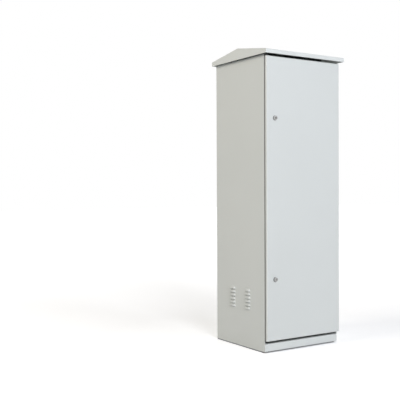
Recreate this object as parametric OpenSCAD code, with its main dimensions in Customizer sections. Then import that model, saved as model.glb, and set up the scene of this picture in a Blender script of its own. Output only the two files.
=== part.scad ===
// Roadside utility cabinet of folded sheet steel: a louvred body on a plinth, a gable canopy with an
// open underside, and one overlay door on concealed hinges, held by two quarter-turn locks.
// Millimetres, +Z up. The origin is on the ground under the middle of the canopy, and the door faces -Y.

/* [Body] */
// Width across the two side panels
body_w = 600; // [520:10:800]
// Depth from the front flange to the back face
body_d = 526; // [460:2:700]
// Thickness of the folded steel sheet
sheet = 2; // [1.5:0.25:2.5]
// Outside radius of the folds
fold_r = 4; // [3.5:0.5:6]
// Width of the flange round the door opening
flange_w = 42; // [40:1:46]
// Reach of the rain lip forward of the flange
lip_h = 10; // [6:0.5:11]
// Width of the flange at the rear of a side panel
rear_flange_w = 25; // [15:1:40]
// Depth of the folded edges of the top and floor panels
pan_edge = 20; // [15:1:24]
// Depth of the folded edges of the sill and the top rail
rail_flange = 30; // [20:1:40]

/* [Plinth] */
// Height of the plinth strip's top edge
plinth_h = 56; // [46:1:90]
// Depth of the plinth strip's folded edges
plinth_flange = 30; // [20:1:40]
// Open gap between the plinth strip and the door
plinth_gap = 20; // [14:1:30]
// Gap under the sheet panels, which the base rails hold off the ground
ground_gap = 8; // [2:0.5:12]
// Leg of the base rails that lies on the ground
base_leg = 60; // [55:1:80]
// Upright leg of the base rails
base_upright = 36; // [25:1:40]
// Thickness of the base rails
base_t = 4; // [3:0.5:6]
// Radius of the anchor holes
anchor_r = 7; // [5.5:0.5:9]
// Distance of the anchor holes from the outside of the body
anchor_inset = 36; // [30:1:42]
// Distance between the front and the rear anchor holes
anchor_span = 360; // [250:10:370]

/* [Canopy] */
// Overhang in front of the door's face
roof_front = 24.5; // [15:0.5:60]
// Overhang behind the body
roof_rear = 16.5; // [15:0.5:60]
// Overhang at each side of the body
roof_side = 23; // [10:0.5:60]
// Height of the upright front and rear edges
fascia_h = 26; // [20:1:60]
// Rise from the upright edges to the ridge
roof_rise = 46; // [30:1:120]
// Open slot between the top panel and the canopy's lower edge
roof_slot = 10; // [6:1:30]
// Open slot between the side panels and the canopy's lower edge
side_slot = 1; // [0.5:0.5:5]
// Distance of the gable ribs from the outside of the body
rib_inset = 80; // [60:1:110]
// Width of the foot of a gable rib
rib_foot = 30; // [28:1:40]
// Distance of the rib ends from the front and rear of the body
rib_end = 60; // [30:1:90]
// Distance between the front and the rear canopy bolts
canopy_bolt_span = 320; // [200:10:330]
// Length of the air slots in the top panel
air_slot_l = 100; // [60:1:110]
// Width of the air slots in the top panel
air_slot_w = 8; // [5:0.5:10]
// Distance from one air slot to the next
air_slot_pitch = 24; // [16:1:40]
// Number of air slots in each bank
air_slot_rows = 8; // [2:1:8]

/* [Door] */
// Height of the door
door_h = 1757; // [1400:1:2000]
// Gap between the body's flange and the door's folded edge
door_gap = 8; // [5:0.5:8]
// Depth of the door's folded edge
door_depth = 15; // [15:0.5:20]
// Step from the top of the door up to the top panel
top_step = 1; // [0.5:0.5:5]
// Width of the seal inside the door
seal_w = 12; // [8:0.5:14]
// Clearance between the seal and the rain lip
seal_clear = 0.3; // [0.2:0.1:1]
// Width of a door stiffener across its feet
stiffener_w = 64; // [58:1:90]
// Width of the raised middle of a door stiffener
stiffener_crown = 34; // [24:1:40]
// Depth of a door stiffener
stiffener_h = 11; // [8:0.5:12]
// Thickness of a door stiffener
stiffener_t = 1.5; // [1:0.25:2]
// Distance of the stiffeners from the middle of the door
stiffener_x = 120; // [80:5:150]
// Distance of the stiffener ends from the ends of the door
stiffener_end = 170; // [120:5:300]

/* [Hinges] */
// Distance of the outer hinges from the ends of the door
hinge_end = 150; // [100:5:300]
// Height of one hinge leaf
leaf_h = 40; // [32:1:60]
// Thickness of the hinge leaves
leaf_t = 2.5; // [2:0.25:3]
// Outside radius of the knuckles
knuckle_r = 5; // [4.5:0.25:5.25]
// Radius of the hinge pins
pin_r = 3; // [2.5:0.25:3.25]
// Running clearance between a turning shaft and its bore
run_clear = 0.05; // [0.02:0.01:0.1]
// Space between the knuckles and the door's front sheet
knuckle_clear = 1; // [0.75:0.25:1.5]
// Space between the knuckles and the door's folded edge
knuckle_side = 1.5; // [1:0.25:1.75]
// Distance of a leaf's fixings from its ends
fixing_end = 9; // [8:0.5:12]

/* [Locks] */
// Distance of the lock axes from the door's free edge
lock_inset = 63; // [62:1:80]
// Distance between the two locks
lock_span = 996; // [600:2:1100]
// Radius of the lock head
lock_head_r = 13; // [12.5:0.5:15]
// Height of the lock head off its seal
lock_head_h = 11; // [9:0.5:14]
// Radius of the threaded lock body
lock_body_r = 10; // [9.5:0.5:10.5]
// Radius of the turning shaft
lock_shaft_r = 6; // [5.75:0.25:7]
// Thickness of the seal under the lock head
lock_seal_t = 1.5; // [1:0.5:3]
// Height of the ring nut behind the door
lock_nut_h = 5; // [4:0.5:7]
// Length of the cam from the lock's axis to its tip
cam_reach = 42; // [36:1:50]
// Width of the cam
cam_w = 18; // [17:1:22]
// Thickness of the cam
cam_t = 3; // [2:0.5:4]
// Clearance between the cam and the back of the flange
cam_clear = 0.8; // [0.6:0.1:2]

/* [Vents] */
// Length of one louvre along the side panel
louvre_l = 60; // [44:1:80]
// How far a louvre stands out from the side panel
louvre_out = 10; // [7:0.5:11]
// Height of a louvre, from its open lower edge up to where it runs out in the panel
louvre_rise = 16; // [12:0.5:18]
// Distance from one louvre to the next
louvre_pitch = 22.8; // [20:0.2:30]
// Number of louvres in a column
louvre_rows = 6; // [3:1:8]
// Distance between the two columns
louvre_columns = 162; // [110:2:180]
// Distance of the vent's middle from the front flange
vent_y = 260; // [230:2:270]
// Height of the vent's middle
vent_z = 309; // [290:1:500]
// Rim of the insect screen round the louvres
screen_rim = 22; // [18:1:26]
// Thickness of the insect screen
screen_t = 1.5; // [1:0.25:2]
// Radius of the screen's holes
screen_hole_r = 4; // [2.5:0.25:4.5]
// Distance from one screen hole to the next
screen_pitch = 11; // [10.5:0.5:16]

/* [Inside] */
// Gap between the mounting plate and the side panels
plate_side_gap = 48; // [44:1:100]
// Gap between the mounting plate and the floor or top panel
plate_end_gap = 80; // [50:1:300]
// Thickness of the mounting plate
plate_t = 2.5; // [2:0.25:3]
// Folded edge of the mounting plate
plate_edge = 15; // [10:1:20]
// Length of the stand-offs behind the mounting plate
standoff_l = 30; // [25:1:60]
// Distance of the stand-offs from the plate's edges
standoff_inset = 40; // [30:1:80]
// Width of the gland plate
gland_w = 380; // [320:5:400]
// Depth of the gland plate
gland_d = 220; // [160:5:260]
// Width of the gland plate's seat round the floor opening
gland_seat = 25; // [22:1:32]
// Thickness of the gasket under the gland plate
gland_gasket_t = 3; // [2:0.5:5]
// Distance of the gland plate's front edge from the front flange
gland_y = 120; // [100:5:150]
// Radius of the cable entries
entry_r = 25; // [16:1:28]
// Distance from one cable entry to the next
entry_pitch = 78; // [68:1:84]

/* [Hidden] */
$fn = 48;
fold_steps = 4;
cut = 1;

// Levels above the ground
door_z0 = plinth_h + plinth_gap;
door_z1 = door_z0 + door_h;
door_mid_z = (door_z0 + door_z1) / 2;
open_z0 = door_z0 + flange_w;
open_z1 = door_z1 - flange_w;
floor_z = door_z0 + 2 * sheet;
top_z = door_z1 + top_step;
eave_z = top_z + roof_slot;
side_h = eave_z - side_slot;

// Places across and along the body, with y measured back from the front flange
inner_x = body_w / 2 - sheet;
open_x = body_w / 2 - flange_w;
back_y = body_d - 2 * sheet;
pan_y0 = fold_r;
pan_y1 = body_d - max(2 * sheet, fold_r);
door_proud = door_gap + door_depth;
door_skin_y = sheet - door_proud;
seal_x = open_x + sheet / 2;
roof_w = body_w + 2 * roof_side;
roof_d = roof_front + door_proud + body_d + roof_rear;
body_y = roof_front + door_proud - roof_d / 2;

// Hinges: the axis lies inside the door's corner, and the frame leaf reaches round the swinging edge
pin_x = inner_x - knuckle_side - knuckle_r;
pin_y = door_skin_y + knuckle_clear + knuckle_r;
corner_r = norm([body_w / 2 - pin_x, door_gap + pin_y]);
arm_clear = 1;
arm_x = pin_x - corner_r - arm_clear - leaf_t / 2;
leaf_bend_r = 1;
leaf_fold_r = leaf_t + leaf_bend_r;
leaf_gap = 0.1;
hinge_zs = [door_z0 + hinge_end, door_mid_z, door_z1 - hinge_end];
foot_clear = 1.5;
frame_foot_x = open_x + fold_r;
frame_fixing_x = (frame_foot_x + arm_x) / 2;
door_foot_x = seal_x + seal_w / 2 + foot_clear;
door_fixing_x = (door_foot_x + pin_x - knuckle_r) / 2;
fixing_r = 2.5;
fixing_fit = 0.25;
fixing_nut_af = 8;
fixing_nut_h = 4;
fixing_tail = 1.5;

// Locks
lock_x = lock_inset - body_w / 2;
lock_zs = [door_mid_z + lock_span / 2, door_mid_z - lock_span / 2];
lock_edge = 1.5;
lock_fit = 0.2;
lock_flat = 1.8 * lock_body_r;
lock_nut_wall = 2;
lock_nut_af = 2 * (lock_body_r + lock_nut_wall);
lock_rim = 4;
lock_recess_r = lock_head_r - lock_rim;
lock_recess_h = 5;
lock_seat = door_proud + lock_seal_t;
lock_face = lock_seat + lock_head_h;
plug_face = 0.8;
plug_socket_r = 5.5;
plug_socket_h = 3;
plug_key_r = 4.2;
cam_y = sheet + cam_clear;
cam_square = 8;
cam_bolt_r = 2.5;
cam_bolt_l = 12;
cam_washer_r = 7;
cam_washer_t = 1;

// Louvres, each an arc of sheet about an axis behind the panel's face, and their screens
hood_r = (louvre_rise * louvre_rise + louvre_out * louvre_out) / (2 * louvre_out);
hood_inset = hood_r - louvre_out;
hood_l = louvre_l + 2 * (hood_r - louvre_rise);
screen_w = louvre_columns + louvre_l + 2 * screen_rim;
screen_span = (louvre_rows - 1) * louvre_pitch + louvre_rise;
screen_h = screen_span + 2 * screen_rim;
screen_z = vent_z + louvre_rise / 2;
screen_hole_rows = floor((screen_span - 2 * screen_hole_r) / screen_pitch) + 1;
screen_hole_cols = floor((louvre_l - 2 * screen_hole_r) / screen_pitch) + 1;
screen_stud_r = 2;
screen_stud_inset = 8;
screen_nut_af = 7;
screen_nut_h = 3.2;

// Canopy: the slope of its middle surface, its bolts and ribs
roof_edge_y = (roof_d - sheet) / 2;
roof_pitch = atan(roof_rise / (roof_d / 2));
rib_x = body_w / 2 - rib_inset;
rib_bolt_x = rib_x + (rib_foot + sheet) / 2;
rib_web_z = eave_z;
air_slot_x = (rib_x - sheet) / 2;
bolt_r = 4;
bolt_fit = 0.5;
bolt_af = 13;
bolt_head_h = 5.3;
bolt_nut_h = 6.5;
bolt_tail = 2;

// Mounting plate and its stand-offs
plate_w = 2 * (inner_x - plate_side_gap);
plate_z0 = floor_z + plate_end_gap;
plate_h = top_z - sheet - plate_end_gap - plate_z0;
plate_y = back_y - standoff_l - plate_t;
standoff_r = 8;

// Gland plate and earth stud
gland_z = floor_z + gland_gasket_t;
gland_mid_y = gland_y + gland_d / 2;
gland_screw_r = 3;
gland_screw_tail = 3;
entry_count = 3;
grommet_wall = 4;
grommet_lip = 4;
grommet_lip_t = 3;
grommet_skin = 1.5;
earth_inset = 60;
earth_x = inner_x - earth_inset;
earth_y = 80;
earth_base_r = 9;
earth_base_h = 3;
earth_stud_h = 32;
earth_lug_gap = 6;

// Colours
paint = [0.80, 0.82, 0.82];
zinc = [0.66, 0.68, 0.69];
bright = [0.78, 0.78, 0.76];
brass = [0.72, 0.58, 0.30];
black_rubber = [0.09, 0.09, 0.09];

// Folded strips: a path along the middle of the sheet, with an arc at every fold
function unit(v) = v / norm(v);
function turned(v, angle) = [v.x * cos(angle) - v.y * sin(angle), v.x * sin(angle) + v.y * cos(angle)];
function turn_between(u, v) = atan2(u.x * v.y - u.y * v.x, u * v);
function reversed(list) = [for (i = [len(list) - 1:-1:0]) list[i]];

function fold_corner(a, p, b, t, r, side) =
    let (
        u = unit(p - a),
        angle = turn_between(u, unit(b - p)),
        s = sign(angle),
        mid_r = r - t / 2,
        left = turned(u, 90),
        centre = p - u * mid_r * tan(abs(angle) / 2) + s * left * mid_r,
        spoke = -s * left * (mid_r - side * s * t / 2)
    )
    [for (k = [0:fold_steps]) centre + turned(spoke, angle * k / fold_steps)];

function fold_face(path, t, r, side) =
    let (
        last = len(path) - 1,
        first_left = turned(unit(path[1] - path[0]), 90),
        last_left = turned(unit(path[last] - path[last - 1]), 90)
    )
    concat(
        [path[0] + first_left * side * t / 2],
        [for (i = [1:last - 1]) each fold_corner(path[i - 1], path[i], path[i + 1], t, r, side)],
        [path[last] + last_left * side * t / 2]
    );

module folded(path, t = sheet, r = fold_r) {
    polygon(concat(fold_face(path, t, r, 1), reversed(fold_face(path, t, r, -1))));
}

// Sections drawn as (y, z) that run across the body, and sections drawn as (x, z) that run along it
module across(length) {
    translate([-length / 2, 0, 0]) rotate([90, 0, 90]) linear_extrude(length) children();
}

module along(y0, y1) {
    translate([0, y1, 0]) rotate([90, 0, 0]) linear_extrude(y1 - y0) children();
}

// The body's own frame, and a piece with its mirror image
module in_body() {
    translate([0, body_y, 0]) children();
}

module both_sides() {
    for (s = [0, 1]) mirror([s, 0, 0]) children();
}

// Turned about X so that +Z points forward out of the door, or back into the body
module facing_front() {
    rotate([90, 0, 0]) children();
}

module facing_back() {
    rotate([-90, 0, 0]) children();
}

// Fasteners along +Z, with the seat at z = 0 and the shank below it
module hex_nut(r, af, h) {
    difference() {
        cylinder(r = af / 2 / cos(30), h = h, $fn = 6);
        translate([0, 0, -cut]) cylinder(r = r, h = h + 2 * cut);
    }
}

module hex_bolt(r, af, head_h, l) {
    cylinder(r = af / 2 / cos(30), h = head_h, $fn = 6);
    translate([0, 0, -l]) cylinder(r = r, h = l + head_h / 2);
}

module pan_screw(r, l) {
    head_r = 1.9 * r;
    head_h = 1.2 * r;
    difference() {
        union() {
            cylinder(r1 = head_r, r2 = 0.75 * head_r, h = head_h);
            translate([0, 0, -l]) cylinder(r = r, h = l + head_h / 2);
        }
        for (a = [0, 90])
            rotate(a) translate([-0.6 * head_r, -0.2 * r, 0.5 * head_h])
                cube([1.2 * head_r, 0.4 * r, head_h]);
    }
}

// Side panels: front flange with a rain lip, rear flange, and louvres pressed out of the sheet
side_path = [
    [-seal_x, -lip_h],
    [-seal_x, sheet / 2],
    [sheet / 2 - body_w / 2, sheet / 2],
    [sheet / 2 - body_w / 2, body_d - sheet / 2],
    [rear_flange_w - body_w / 2, body_d - sheet / 2]
];

module louvre_places() {
    for (c = [-1, 1], i = [0:louvre_rows - 1])
        translate([
            -body_w / 2,
            vent_y + c * louvre_columns / 2,
            vent_z + (i - (louvre_rows - 1) / 2) * louvre_pitch
        ]) children();
}

module half_capsule(l, r) {
    intersection() {
        union() {
            translate([0, r - l / 2]) square([r, l - 2 * r]);
            for (s = [-1, 1]) translate([0, s * (l / 2 - r)]) circle(r);
        }
        translate([0, -l / 2]) square([r, l]);
    }
}

module louvre_turn(angle) {
    translate([hood_inset, 0, 0]) facing_back() rotate(180) rotate_extrude(angle = angle) children();
}

module louvre_hood() {
    difference() {
        louvre_turn(90) difference() {
            half_capsule(hood_l, hood_r);
            half_capsule(hood_l - 2 * sheet, hood_r - sheet);
        }
        translate([sheet, -hood_l / 2, -cut]) cube([hood_r, hood_l, hood_r + 2 * cut]);
    }
}

module louvre_slot() {
    louvre_turn(180) half_capsule(hood_l - 2 * sheet, hood_r - sheet);
}

module side_panel() {
    flange_cut = [flange_w, lip_h + fold_r + 2 * cut, side_h];
    lip_cut = [flange_w, lip_h + cut, side_h];
    difference() {
        translate([0, 0, ground_gap]) linear_extrude(side_h - ground_gap) folded(side_path);
        translate([-inner_x, -lip_h - cut, door_z0 - side_h]) cube(flange_cut);
        translate([-inner_x, -lip_h - cut, top_z]) cube(flange_cut);
        translate([-inner_x, -lip_h - cut, open_z0 - sheet - side_h]) cube(lip_cut);
        translate([-inner_x, -lip_h - cut, open_z1 + sheet]) cube(lip_cut);
        louvre_places() louvre_slot();
    }
    louvre_places() louvre_hood();
}

module left_side_panel() {
    color(paint) in_body() side_panel();
}

module right_side_panel() {
    color(paint) in_body() difference() {
        mirror([1, 0, 0]) side_panel();
        frame_fixing_places() facing_back() cylinder(r = fixing_r + fixing_fit, h = 4 * sheet, center = true);
    }
}

// Back panel, behind the rear flanges of the side panels
module back_panel() {
    back_w = body_w - 2 * fold_r;
    color(paint) in_body() translate([-back_w / 2, back_y, ground_gap])
        cube([back_w, sheet, side_h - ground_gap]);
}

// Top and floor panels: sheets with their side edges folded down
module pan(z) {
    x = inner_x - sheet / 2;
    along(pan_y0, pan_y1)
        folded([[-x, z - pan_edge], [-x, z - sheet / 2], [x, z - sheet / 2], [x, z - pan_edge]]);
}

module air_slot_places() {
    for (s = [-1, 1], i = [0:air_slot_rows - 1])
        translate([s * air_slot_x, body_d / 2 + (i - (air_slot_rows - 1) / 2) * air_slot_pitch, top_z])
            children();
}

module air_slot() {
    straight = air_slot_l - air_slot_w;
    cube([straight, air_slot_w, 4 * sheet], center = true);
    for (s = [-1, 1]) translate([s * straight / 2, 0, 0])
        cylinder(d = air_slot_w, h = 4 * sheet, center = true);
}

module top_panel() {
    color(paint) in_body() difference() {
        pan(top_z);
        air_slot_places() air_slot();
        canopy_bolt_places() cylinder(r = bolt_r + bolt_fit, h = 4 * sheet, center = true);
    }
}

module floor_panel() {
    opening = [gland_w - 2 * gland_seat, gland_d - 2 * gland_seat, 4 * sheet];
    color(paint) in_body() difference() {
        pan(floor_z);
        translate([0, gland_mid_y, floor_z]) cube(opening, center = true);
        gland_screw_places() translate([0, 0, floor_z])
            cylinder(r = gland_screw_r, h = 4 * sheet, center = true);
    }
}

// Rails that close the door frame above and below, with the same lip and flange as the side panels
module top_rail() {
    color(paint) in_body() across(2 * open_x) folded([
        [-lip_h, open_z1 + sheet / 2],
        [sheet / 2, open_z1 + sheet / 2],
        [sheet / 2, top_z - 1.5 * sheet],
        [rail_flange, top_z - 1.5 * sheet]
    ]);
}

module sill_rail() {
    color(paint) in_body() across(2 * open_x) folded([
        [-lip_h, open_z0 - sheet / 2],
        [sheet / 2, open_z0 - sheet / 2],
        [sheet / 2, door_z0 + sheet / 2],
        [rail_flange, door_z0 + sheet / 2]
    ]);
}

// Plinth strip and base rails
module plinth_front() {
    color(paint) in_body() across(2 * inner_x) folded([
        [plinth_flange, plinth_h - sheet / 2],
        [sheet / 2, plinth_h - sheet / 2],
        [sheet / 2, ground_gap + sheet / 2],
        [plinth_flange, ground_gap + sheet / 2]
    ]);
}

module base_angle() {
    square([base_leg, base_t]);
    square([base_t, base_upright]);
}

module base_rail() {
    difference() {
        translate([-inner_x, 0, 0]) along(plinth_flange, pan_y1) base_angle();
        for (s = [-1, 1])
            translate([anchor_inset - body_w / 2, (body_d + s * anchor_span) / 2, -cut])
                cylinder(r = anchor_r, h = base_t + 2 * cut);
    }
}

module base_rail_left() {
    color(zinc) in_body() base_rail();
}

module base_rail_right() {
    color(zinc) in_body() mirror([1, 0, 0]) base_rail();
}

module base_rail_rear() {
    color(zinc) in_body() translate([0, back_y, 0]) across(2 * (inner_x - base_leg))
        mirror([1, 0]) base_angle();
}

// Gland plate over the floor opening, with rubber cable entries
module gland_screw_places() {
    x = (gland_w - gland_seat) / 2;
    y = (gland_d - gland_seat) / 2;
    for (i = [-1, 0, 1], s = [-1, 1]) translate([i * x, gland_mid_y + s * y, 0]) children();
}

module gland_sheet(z, t) {
    difference() {
        translate([-gland_w / 2, gland_y, z]) cube([gland_w, gland_d, t]);
        gland_screw_places() translate([0, 0, z - cut])
            cylinder(r = gland_screw_r + fixing_fit, h = t + 2 * cut);
    }
}

module entry_places() {
    for (i = [0:entry_count - 1])
        translate([(i - (entry_count - 1) / 2) * entry_pitch, gland_mid_y, gland_z]) children();
}

module gland_gasket() {
    opening = [gland_w - 2 * gland_seat, gland_d - 2 * gland_seat, 4 * gland_gasket_t];
    color(black_rubber) in_body() difference() {
        gland_sheet(floor_z, gland_gasket_t);
        translate([0, gland_mid_y, floor_z]) cube(opening, center = true);
    }
}

module gland_plate() {
    color(zinc) in_body() difference() {
        gland_sheet(gland_z, sheet);
        entry_places() translate([0, 0, -cut]) cylinder(r = entry_r, h = sheet + 2 * cut);
    }
}

module gland_screws() {
    color(zinc) in_body() gland_screw_places() translate([0, 0, gland_z + sheet])
        pan_screw(gland_screw_r, gland_gasket_t + 2 * sheet + gland_screw_tail);
}

module cable_grommets() {
    bore_r = entry_r - grommet_wall;
    color(black_rubber) in_body() entry_places() rotate_extrude() {
        translate([bore_r, -grommet_lip_t]) square([grommet_wall, sheet + 2 * grommet_lip_t]);
        translate([bore_r, -grommet_lip_t]) square([grommet_wall + grommet_lip, grommet_lip_t]);
        translate([bore_r, sheet]) square([grommet_wall + grommet_lip, grommet_lip_t]);
        translate([0, sheet]) square([entry_r, grommet_skin]);
    }
}

// Gable canopy, open below, on two ribs that stand on the top panel
function roof_mid_z(y) =
    eave_z + fascia_h + roof_rise * (1 - abs(y) / (roof_d / 2)) - sheet / 2 / cos(roof_pitch);

canopy_path = [
    [-roof_edge_y, eave_z],
    [-roof_edge_y, roof_mid_z(roof_edge_y)],
    [0, roof_mid_z(0)],
    [roof_edge_y, roof_mid_z(roof_edge_y)],
    [roof_edge_y, eave_z]
];

module roof_canopy() {
    color(paint) {
        across(roof_w) folded(canopy_path);
        both_sides() translate([(roof_w - sheet) / 2, 0, 0])
            across(sheet) polygon(fold_face(canopy_path, sheet, fold_r, 1));
    }
}

module canopy_bolt_places() {
    both_sides() for (s = [-1, 1])
        translate([rib_bolt_x, (body_d + s * canopy_bolt_span) / 2, top_z]) children();
}

module canopy_rib() {
    y0 = rib_end;
    y1 = body_d - rib_end;
    x = rib_x + sheet / 2;
    difference() {
        in_body() along(y0, y1)
            folded([[rib_x + rib_foot, top_z + sheet / 2], [x, top_z + sheet / 2], [x, rib_web_z]]);
        in_body() canopy_bolt_places() cylinder(r = bolt_r + bolt_fit, h = 4 * sheet, center = true);
    }
    translate([x, 0, 0]) across(sheet) intersection() {
        polygon(fold_face(canopy_path, sheet, fold_r, -1));
        translate([body_y + y0, rib_web_z]) square([y1 - y0, fascia_h + roof_rise + roof_slot]);
    }
}

module canopy_rib_left() {
    color(zinc) mirror([1, 0, 0]) canopy_rib();
}

module canopy_rib_right() {
    color(zinc) canopy_rib();
}

module canopy_bolts() {
    color(zinc) in_body() canopy_bolt_places() translate([0, 0, -sheet]) mirror([0, 0, 1])
        hex_bolt(bolt_r, bolt_af, bolt_head_h, 2 * sheet + bolt_nut_h + bolt_tail);
}

module canopy_nuts() {
    color(zinc) in_body() canopy_bolt_places() translate([0, 0, sheet]) hex_nut(bolt_r, bolt_af, bolt_nut_h);
}

// Perforated insect screens on studs behind the louvres
module screen_stud_places() {
    y = screen_w / 2 - screen_stud_inset;
    z = screen_h / 2 - screen_stud_inset;
    for (i = [-1, 1], k = [-1, 1])
        translate([-inner_x, vent_y + i * y, screen_z + k * z]) rotate([0, 90, 0]) children();
}

module vent_screen() {
    difference() {
        translate([-inner_x, vent_y - screen_w / 2, screen_z - screen_h / 2])
            cube([screen_t, screen_w, screen_h]);
        screen_stud_places() cylinder(r = screen_stud_r + fixing_fit, h = 4 * screen_t, center = true);
        for (c = [-1, 1], i = [0:screen_hole_cols - 1], k = [0:screen_hole_rows - 1])
            translate([
                -inner_x,
                vent_y + c * louvre_columns / 2 + (i - (screen_hole_cols - 1) / 2) * screen_pitch,
                screen_z + (k - (screen_hole_rows - 1) / 2) * screen_pitch
            ]) rotate([0, 90, 0]) cylinder(r = screen_hole_r, h = 4 * screen_t, center = true, $fn = 16);
    }
}

module vent_screen_left() {
    color(zinc) in_body() vent_screen();
}

module vent_screen_right() {
    color(zinc) in_body() mirror([1, 0, 0]) vent_screen();
}

module vent_screen_studs() {
    color(zinc) in_body() both_sides() screen_stud_places()
        cylinder(r = screen_stud_r, h = screen_t + screen_nut_h + fixing_tail);
}

module vent_screen_nuts() {
    color(zinc) in_body() both_sides() screen_stud_places() translate([0, 0, screen_t])
        hex_nut(screen_stud_r, screen_nut_af, screen_nut_h);
}

// Mounting plate with folded edges, on stand-offs from the back panel
module standoff_places() {
    z = plate_h / 2 - standoff_inset;
    for (i = [-1, 1], k = [-1, 0, 1])
        translate([i * (plate_w / 2 - standoff_inset), back_y, plate_z0 + plate_h / 2 + k * z])
            facing_front() children();
}

module mounting_plate() {
    x = (plate_w - plate_t) / 2;
    y = plate_y + plate_t / 2;
    color(zinc) in_body() difference() {
        translate([0, 0, plate_z0]) linear_extrude(plate_h)
            folded([[-x, plate_y + plate_edge], [-x, y], [x, y], [x, plate_y + plate_edge]], plate_t);
        standoff_places() cylinder(r = bolt_r + bolt_fit, h = standoff_l + 2 * plate_t);
    }
}

module plate_standoffs() {
    color(zinc) in_body() standoff_places() {
        cylinder(r = standoff_r, h = standoff_l);
        cylinder(r = bolt_r, h = standoff_l + plate_t + bolt_nut_h + bolt_tail);
    }
}

module plate_nuts() {
    color(zinc) in_body() standoff_places() translate([0, 0, standoff_l + plate_t])
        hex_nut(bolt_r, bolt_af, bolt_nut_h);
}

// Earth stud on the floor
module earth_stud() {
    color(brass) in_body() translate([earth_x, earth_y, floor_z]) {
        cylinder(r = earth_base_r, h = earth_base_h);
        cylinder(r = bolt_r, h = earth_stud_h);
    }
}

module earth_nuts() {
    color(brass) in_body() translate([earth_x, earth_y, floor_z + earth_base_h])
        for (i = [0, 1]) translate([0, 0, i * (bolt_nut_h + earth_lug_gap)])
            rotate(i * 20) hex_nut(bolt_r, bolt_af, bolt_nut_h);
}

// Concealed lift-off hinges
module frame_fixing_places() {
    for (z = hinge_zs, s = [0, 1])
        translate([frame_fixing_x, 0, z - (s == 0 ? fixing_end : leaf_h - fixing_end)]) children();
}

module door_fixing_places() {
    for (z = hinge_zs, s = [0, 1])
        translate([door_fixing_x, door_skin_y, z + leaf_gap + (s == 0 ? fixing_end : leaf_h - fixing_end)])
            children();
}

module hinge_frame_leaf(z) {
    strip = [
        [pin_x - (pin_r + knuckle_r) / 2, pin_y],
        [arm_x, pin_y],
        [arm_x, -leaf_t / 2],
        [frame_foot_x, -leaf_t / 2]
    ];
    color(zinc) in_body() difference() {
        translate([0, 0, z - leaf_h]) linear_extrude(leaf_h) {
            difference() {
                translate([pin_x, pin_y]) circle(knuckle_r);
                translate([pin_x, pin_y]) circle(pin_r);
            }
            folded(strip, leaf_t, leaf_fold_r);
        }
        frame_fixing_places() facing_back()
            cylinder(r = fixing_r + fixing_fit, h = 4 * leaf_t, center = true);
    }
}

module hinge_door_leaf(z) {
    color(zinc) in_body() difference() {
        translate([0, 0, z + leaf_gap]) linear_extrude(leaf_h) difference() {
            union() {
                translate([pin_x, pin_y]) circle(knuckle_r);
                translate([door_foot_x, door_skin_y]) square([pin_x - door_foot_x, leaf_t]);
            }
            translate([pin_x, pin_y]) circle(pin_r + run_clear);
        }
        door_fixing_places() facing_back() cylinder(r = fixing_r + fixing_fit, h = 4 * leaf_t, center = true);
    }
}

module hinge_pin(z) {
    color(bright) in_body() translate([pin_x, pin_y, z - leaf_h]) cylinder(r = pin_r, h = 2 * leaf_h);
}

module lower_hinge_frame_leaf() {
    hinge_frame_leaf(hinge_zs[0]);
}

module middle_hinge_frame_leaf() {
    hinge_frame_leaf(hinge_zs[1]);
}

module upper_hinge_frame_leaf() {
    hinge_frame_leaf(hinge_zs[2]);
}

module lower_hinge_pin() {
    hinge_pin(hinge_zs[0]);
}

module middle_hinge_pin() {
    hinge_pin(hinge_zs[1]);
}

module upper_hinge_pin() {
    hinge_pin(hinge_zs[2]);
}

module lower_hinge_door_leaf() {
    hinge_door_leaf(hinge_zs[0]);
}

module middle_hinge_door_leaf() {
    hinge_door_leaf(hinge_zs[1]);
}

module upper_hinge_door_leaf() {
    hinge_door_leaf(hinge_zs[2]);
}

module hinge_frame_screws() {
    color(zinc) in_body() frame_fixing_places() translate([0, -leaf_t, 0]) facing_front()
        pan_screw(fixing_r, leaf_t + sheet + fixing_nut_h + fixing_tail);
}

module hinge_frame_nuts() {
    color(zinc) in_body() frame_fixing_places() translate([0, sheet, 0]) facing_back()
        hex_nut(fixing_r, fixing_nut_af, fixing_nut_h);
}

module hinge_door_studs() {
    color(zinc) in_body() door_fixing_places() facing_back()
        cylinder(r = fixing_r, h = leaf_t + fixing_nut_h + fixing_tail);
}

module hinge_door_nuts() {
    color(zinc) in_body() door_fixing_places() translate([0, leaf_t, 0]) facing_back()
        hex_nut(fixing_r, fixing_nut_af, fixing_nut_h);
}

// Door pan with folded edges all round, its stiffeners and its seal
module front_rounded(w, d, r) {
    translate([-w / 2, r]) square([w, d - r]);
    translate([r - w / 2, 0]) square([w - 2 * r, d]);
    for (s = [-1, 1]) translate([s * (w / 2 - r), r]) circle(r);
}

module pan_block(w, h, d, r) {
    intersection() {
        linear_extrude(h) front_rounded(w, d, r);
        translate([0, 0, h / 2]) rotate([0, 90, 0]) linear_extrude(w, center = true) front_rounded(h, d, r);
    }
}

module lock_hole(r, flat) {
    intersection() {
        circle(r);
        square([2 * r, flat], center = true);
    }
}

module door_panel() {
    color(paint) in_body() difference() {
        translate([0, -door_proud, door_z0]) difference() {
            pan_block(body_w, door_h, door_depth, fold_r);
            translate([0, sheet, sheet])
                pan_block(body_w - 2 * sheet, door_h - 2 * sheet, door_depth, fold_r - sheet);
        }
        for (z = lock_zs) translate([lock_x, -door_proud, z]) facing_front()
            linear_extrude(4 * sheet, center = true)
                lock_hole(lock_body_r + lock_fit, lock_flat + 2 * lock_fit);
    }
}

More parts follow.
